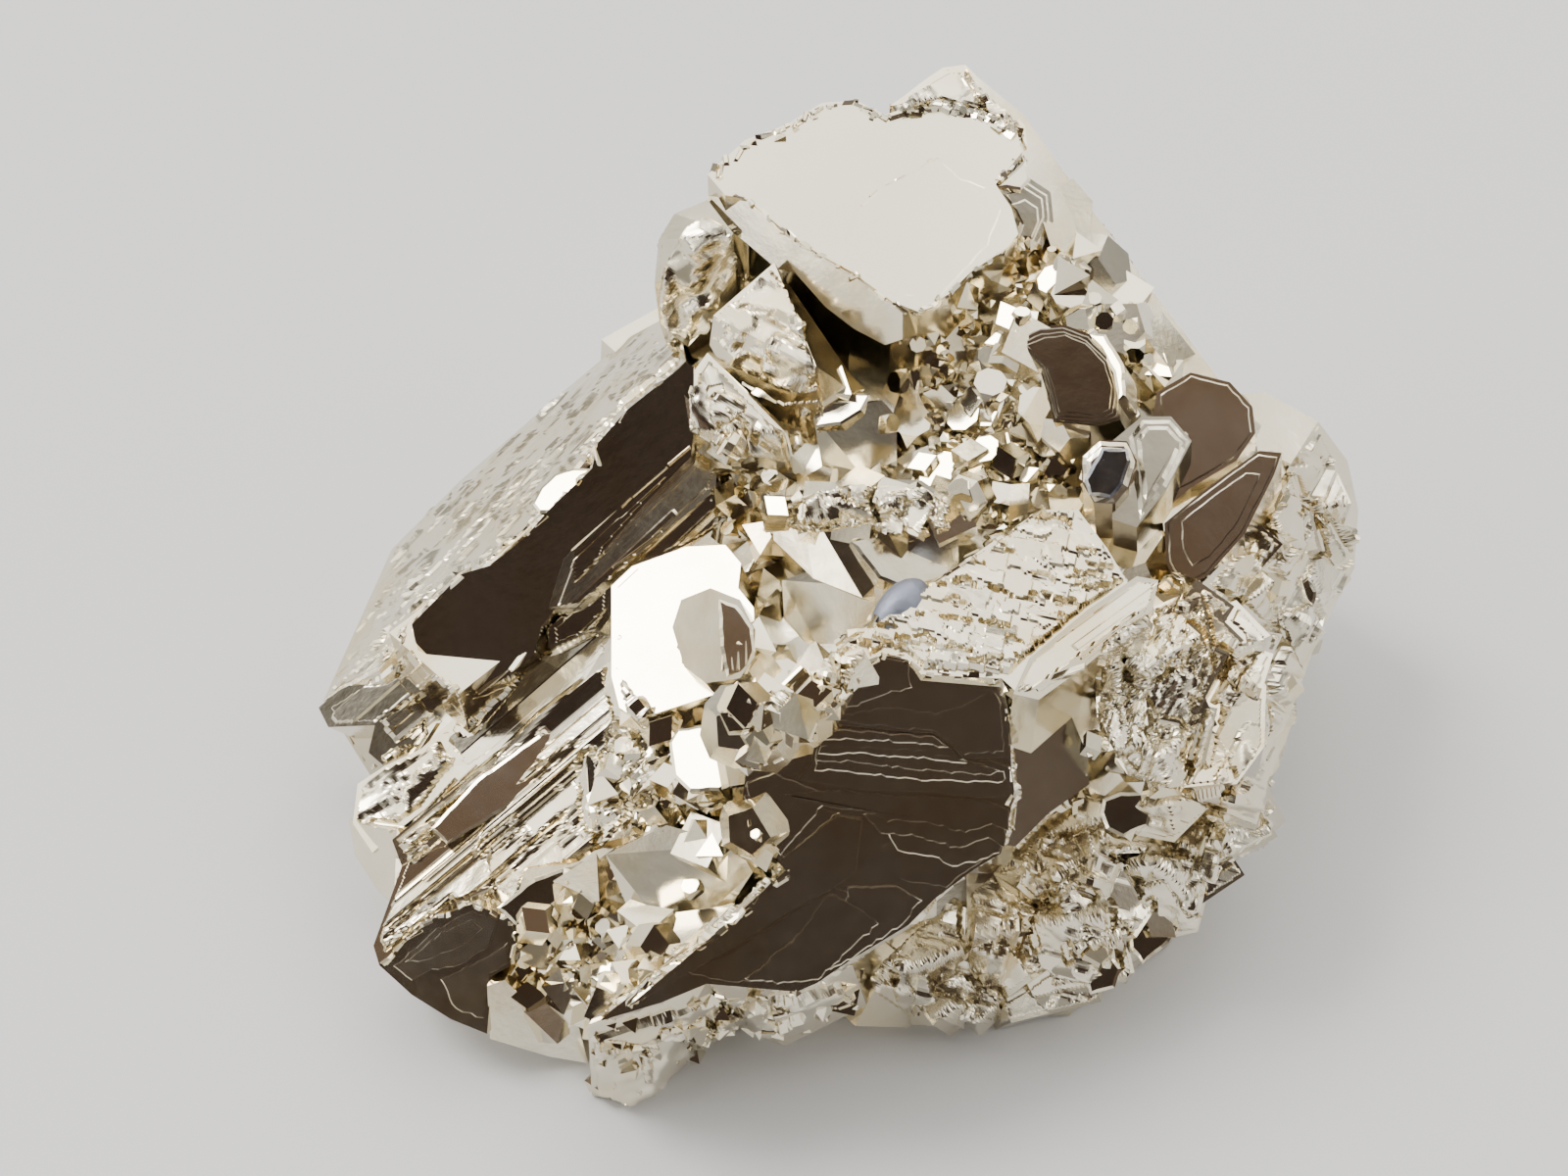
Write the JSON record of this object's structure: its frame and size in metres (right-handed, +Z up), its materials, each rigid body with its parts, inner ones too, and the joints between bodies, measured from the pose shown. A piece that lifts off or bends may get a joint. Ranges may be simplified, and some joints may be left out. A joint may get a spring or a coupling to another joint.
{
  "type": "pyrite cluster",
  "caption": "Natural pyrite specimen: mirror-faced brassy crystals grown together, with stepped and striated faces, a crystal-lined hollow and a broken base it rests on.",
  "frame": {"origin": "the middle of the footprint's box, on the table plane under the cluster", "axes": "+Z up from the broken base; +X to the right and +Y to the back as the cluster is seen from its front, where the great dark stepped face looks out"},
  "size_m": [0.1042, 0.0948, 0.0507],
  "materials": {
    "pyrite": "natural pyrite: pale brassy mirror metal, striated and etched in places"
  },
  "bodies": {
    "root": {"pyrite_cluster": "pyrite"}
  },
  "joints": []
}
